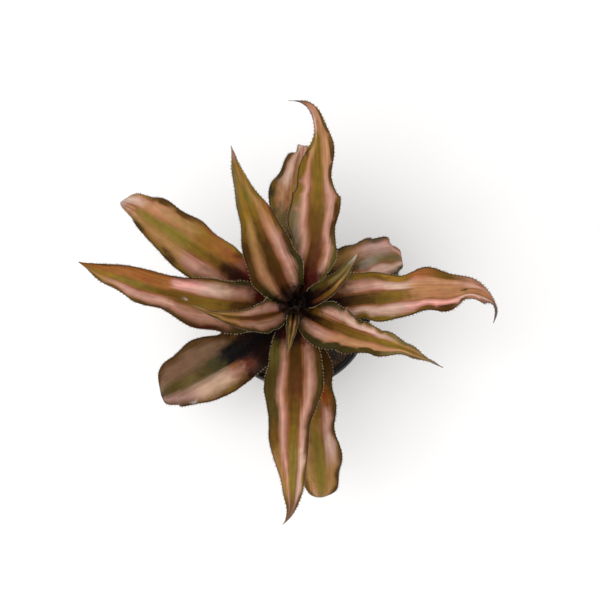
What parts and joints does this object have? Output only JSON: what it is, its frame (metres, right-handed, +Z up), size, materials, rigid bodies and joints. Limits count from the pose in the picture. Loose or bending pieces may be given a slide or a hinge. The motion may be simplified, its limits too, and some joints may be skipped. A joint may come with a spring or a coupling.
{
  "type": "earth star bromeliad in a pot",
  "caption": "Flat rosette of waved, striped, fine-toothed leaves on a short stem, growing in a small round nursery pot of potting mix.",
  "frame": {"origin": "centre of the pot's flat base, on the pot's axis, at the height that the pot stands on", "axes": "+Z up along the pot's axis; +X towards the long leaf whose tip hooks clockwise (leaf_07); +Y towards the long leaf whose tip hooks over to its left (leaf_06)"},
  "size_m": [0.1594, 0.1593, 0.112],
  "materials": {
    "leaf": "satin",
    "young_leaf": "satin",
    "old_leaf": "satin",
    "stem": "matte",
    "soil": "matte",
    "pot": "satin"
  },
  "bodies": {
    "root": {"pot": "pot", "soil": "soil", "stem": "stem", "leaf_01": "young_leaf", "leaf_02": "young_leaf", "leaf_03": "young_leaf", "leaf_04": "leaf", "leaf_05": "leaf", "leaf_06": "leaf", "leaf_07": "leaf", "leaf_08": "leaf", "leaf_09": "leaf", "leaf_10": "old_leaf", "leaf_11": "old_leaf", "leaf_12": "old_leaf", "leaf_13": "old_leaf", "leaf_14": "old_leaf"}
  },
  "joints": []
}
